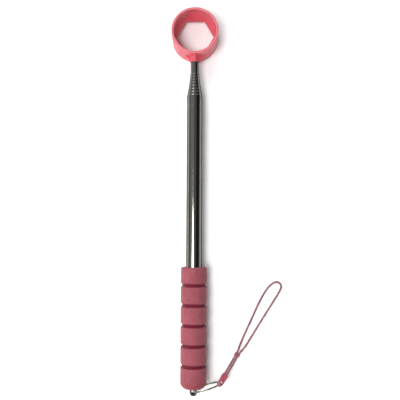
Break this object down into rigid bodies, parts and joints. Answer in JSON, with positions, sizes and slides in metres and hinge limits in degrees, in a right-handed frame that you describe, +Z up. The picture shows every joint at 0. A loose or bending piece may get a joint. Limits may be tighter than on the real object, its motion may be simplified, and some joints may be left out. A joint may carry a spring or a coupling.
{
  "type": "telescopic ball pick-up pole",
  "caption": "Telescopic ball pick-up pole: ring head with hexagonal opening, nested chromed tubes, ribbed foam grip, end knob, split ring and wrist cord.",
  "frame": {"origin": "on the table under the middle of the collapsed pole, between the knob's tip and the ring's far side", "axes": "+Y along the pole towards the ring head, +Z up out of the ring's bowl, +X to the side that the strap lies on"},
  "size_m": [0.1144, 0.39, 0.0295],
  "materials": {
    "pink_plastic": "satin moulded plastic, coral pink",
    "chromed_steel": "polished, drawn tube",
    "spring_brass": "thin spring strip",
    "grey_plastic": "plain moulded plastic",
    "screw_steel": "zinc plated",
    "pink_foam": "closed-cell foam, dusty rose",
    "wire_steel": "bright wire",
    "connector_plastic": "moulded plastic, pink",
    "cord_braid": "braided cord, pale pink"
  },
  "bodies": {
    "handle": {"pole_tube_1": "chromed_steel", "foam_grip": "pink_foam", "base_plug": "grey_plastic", "end_knob": "chromed_steel"},
    "section_2": {"pole_tube_2": "chromed_steel", "friction_sleeve_2": "spring_brass"},
    "section_3": {"pole_tube_3": "chromed_steel", "friction_sleeve_3": "spring_brass"},
    "section_4": {"pole_tube_4": "chromed_steel", "friction_sleeve_4": "spring_brass"},
    "section_5": {"pole_tube_5": "chromed_steel", "friction_sleeve_5": "spring_brass"},
    "section_6": {"pole_tube_6": "chromed_steel", "friction_sleeve_6": "spring_brass"},
    "section_7": {"pole_tube_7": "chromed_steel", "friction_sleeve_7": "spring_brass"},
    "section_8": {"pole_tube_8": "chromed_steel", "friction_sleeve_8": "spring_brass"},
    "section_9": {"friction_sleeve_9": "spring_brass"},
    "head": {"pole_tube_9": "chromed_steel", "tip_insert": "grey_plastic", "head_screw": "screw_steel", "ring_head": "pink_plastic"},
    "split_ring": {"split_ring": "wire_steel"},
    "wrist_strap": {"strap_connector": "connector_plastic", "cord_binding": "cord_braid", "wrist_cord": "cord_braid"}
  },
  "joints": [
    {"name": "section_2_slide", "type": "slide", "parent": "handle", "child": "section_2", "axis": [0, 1, 0], "range_m": [0, 0.2165]},
    {"name": "section_3_slide", "type": "slide", "parent": "section_2", "child": "section_3", "axis": [0, 1, 0], "range_m": [0, 0.2197]},
    {"name": "section_4_slide", "type": "slide", "parent": "section_3", "child": "section_4", "axis": [0, 1, 0], "range_m": [0, 0.2229]},
    {"name": "section_5_slide", "type": "slide", "parent": "section_4", "child": "section_5", "axis": [0, 1, 0], "range_m": [0, 0.2261]},
    {"name": "section_6_slide", "type": "slide", "parent": "section_5", "child": "section_6", "axis": [0, 1, 0], "range_m": [0, 0.2293]},
    {"name": "section_7_slide", "type": "slide", "parent": "section_6", "child": "section_7", "axis": [0, 1, 0], "range_m": [0, 0.2325]},
    {"name": "section_8_slide", "type": "slide", "parent": "section_7", "child": "section_8", "axis": [0, 1, 0], "range_m": [0, 0.2357]},
    {"name": "section_9_slide", "type": "slide", "parent": "section_8", "child": "section_9", "axis": [0, 1, 0], "range_m": [0, 0.2389]},
    {"name": "head_turn", "type": "hinge", "parent": "section_9", "child": "head", "pos_m": [0, 0.1123, 0.0132], "axis": [0, 1, 0], "continuous": true},
    {"name": "split_ring_swing", "type": "hinge", "parent": "handle", "child": "split_ring", "pos_m": [0, -0.1904, 0.0148], "axis": [0, 0, 1], "range_deg": [-200, 0]},
    {"name": "strap_swing", "type": "hinge", "parent": "split_ring", "child": "wrist_strap", "pos_m": [0.02709, -0.18186, 0.0148], "axis": [0, 0, 1], "range_deg": [-120, 30]}
  ]
}
